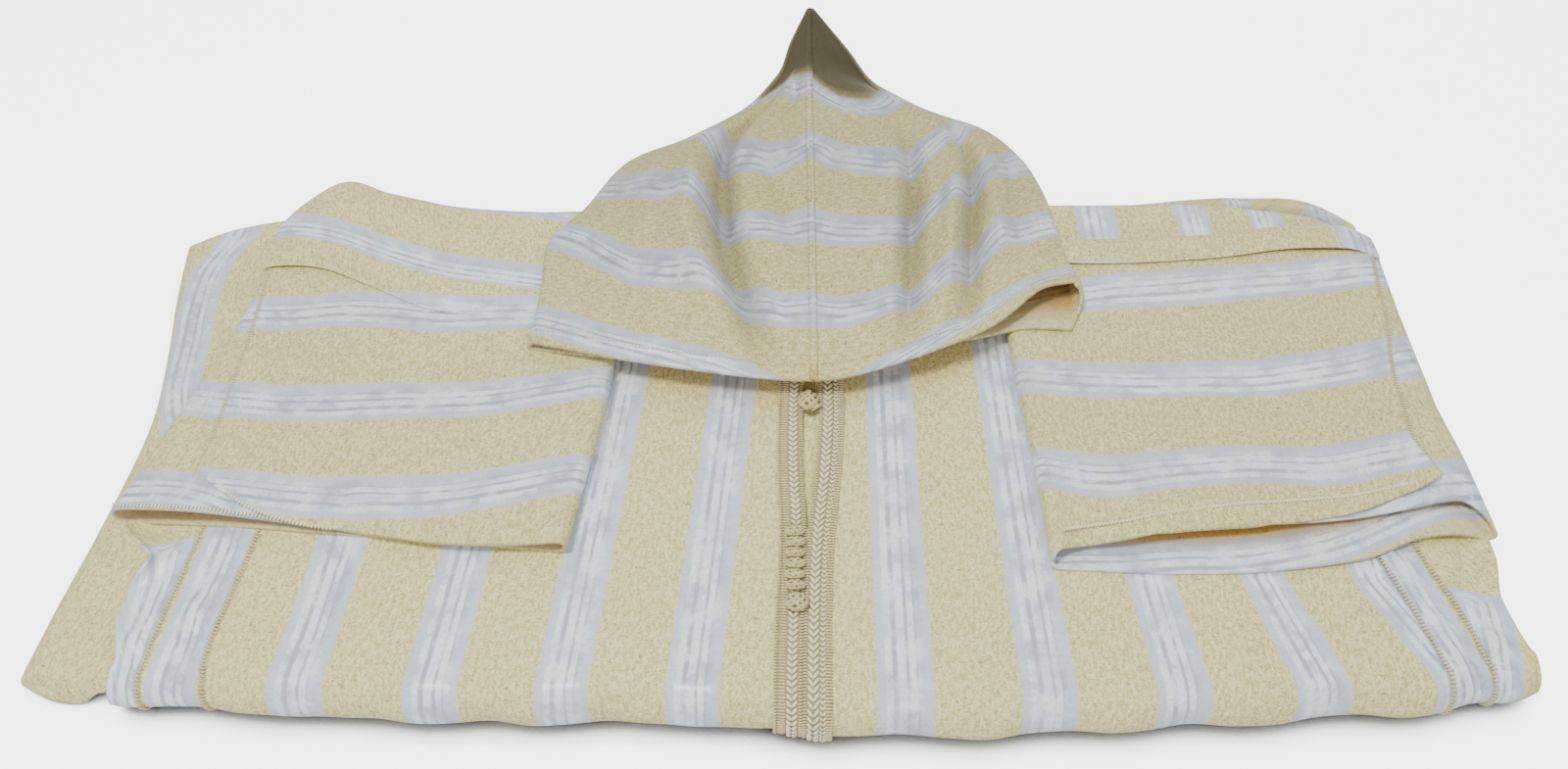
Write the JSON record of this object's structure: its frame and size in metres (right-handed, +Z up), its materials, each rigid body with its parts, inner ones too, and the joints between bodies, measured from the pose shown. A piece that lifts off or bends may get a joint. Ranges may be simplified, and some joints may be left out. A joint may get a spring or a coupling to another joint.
{
  "type": "hooded kaftan",
  "caption": "Folded hooded kaftan in striped cloth: body folded in a flat stack, open-cuffed sleeves laid over it, pointed hood spread above a braided neck slit.",
  "frame": {"origin": "middle of the footprint at the underside, where the folded garment rests", "axes": "+X along the longest side, to the wearer's left; +Y from the near fold to the hood's tip; +Z up out of the surface it lies on"},
  "size_m": [0.766, 0.4444, 0.111],
  "materials": {
    "cloth": "slubby cream weave with satin stripes",
    "cloth_inside": "the same weave, its hidden folds",
    "braid": "flat corded braid and tied knots"
  },
  "bodies": {
    "root": {"back": "cloth", "front": "cloth", "right_gusset": "cloth", "right_gore": "cloth", "left_gusset": "cloth", "left_gore": "cloth", "right_sleeve": "cloth", "left_sleeve": "cloth", "right_shoulder_fold": "cloth", "left_shoulder_fold": "cloth", "hood_right_half": "cloth", "hood_left_half": "cloth", "inner_folds": "cloth_inside", "braid_right": "braid", "braid_left": "braid", "knot_top": "braid", "knot_low": "braid", "loop_1": "braid", "loop_2": "braid", "loop_3": "braid", "loop_4": "braid", "loop_5": "braid", "loop_6": "braid"}
  },
  "joints": []
}
